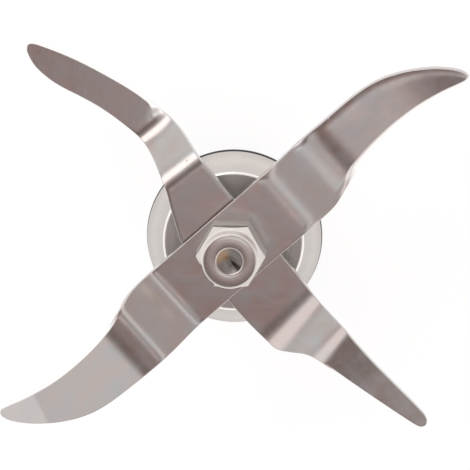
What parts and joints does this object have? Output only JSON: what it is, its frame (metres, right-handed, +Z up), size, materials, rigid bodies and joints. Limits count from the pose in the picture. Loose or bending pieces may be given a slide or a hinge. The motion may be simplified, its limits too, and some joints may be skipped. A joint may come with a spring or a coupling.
{
  "type": "food processor blade unit",
  "caption": "Crossed, bent steel blades under a hexagonal nut, on a shaft that turns in ball bearings inside a flanged housing, with a star coupling at its foot.",
  "frame": {"origin": "centre of the drive coupling's foot, on the shaft's axis", "axes": "+Z up the shaft towards the nut, +X along the dropped arm of the upper blade, +Y along the rear arm of the lower blade"},
  "size_m": [0.1259, 0.1205, 0.0626],
  "materials": {
    "stamped_steel": "polished stamped stainless steel",
    "turned_steel": "fine turned stainless steel",
    "bearing_steel": "ground bearing steel",
    "cage_brass": "pressed brass",
    "dark_rubber": "matte moulded rubber",
    "dark_plastic": "moulded glass-filled plastic"
  },
  "bodies": {
    "housing": {"bearing_housing": "turned_steel", "flange_gasket": "dark_rubber", "shaft_seal": "dark_rubber", "lower_bearing_outer_ring": "bearing_steel", "upper_bearing_outer_ring": "bearing_steel", "outer_bearing_spacer": "turned_steel", "housing_clip": "bearing_steel"},
    "rotor": {"upper_blade": "stamped_steel", "lower_blade": "stamped_steel", "blade_nut": "turned_steel", "drive_shaft": "turned_steel", "blade_spacer": "turned_steel", "lower_bearing_inner_ring": "bearing_steel", "upper_bearing_inner_ring": "bearing_steel", "inner_bearing_spacer": "turned_steel", "drive_coupling": "dark_plastic", "coupling_pin": "bearing_steel"},
    "lower_cage": {"lower_bearing_cage": "cage_brass", "lower_bearing_ball_1": "bearing_steel", "lower_bearing_ball_2": "bearing_steel", "lower_bearing_ball_3": "bearing_steel", "lower_bearing_ball_4": "bearing_steel", "lower_bearing_ball_5": "bearing_steel", "lower_bearing_ball_6": "bearing_steel", "lower_bearing_ball_7": "bearing_steel"},
    "upper_cage": {"upper_bearing_cage": "cage_brass", "upper_bearing_ball_1": "bearing_steel", "upper_bearing_ball_2": "bearing_steel", "upper_bearing_ball_3": "bearing_steel", "upper_bearing_ball_4": "bearing_steel", "upper_bearing_ball_5": "bearing_steel", "upper_bearing_ball_6": "bearing_steel", "upper_bearing_ball_7": "bearing_steel"}
  },
  "joints": [
    {"name": "blade_spin", "type": "hinge", "parent": "housing", "child": "rotor", "pos_m": [0, 0, 0.025], "axis": [0, 0, 1], "continuous": true},
    {"name": "lower_cage_spin", "type": "hinge", "parent": "housing", "child": "lower_cage", "pos_m": [0, 0, 0.01835], "axis": [0, 0, 1], "continuous": true},
    {"name": "upper_cage_spin", "type": "hinge", "parent": "housing", "child": "upper_cage", "pos_m": [0, 0, 0.02995], "axis": [0, 0, 1], "continuous": true}
  ],
  "couplings": [
    {"joint": "lower_cage_spin", "follows": "blade_spin", "ratio": 0.3677},
    {"joint": "upper_cage_spin", "follows": "blade_spin", "ratio": 0.3677}
  ]
}
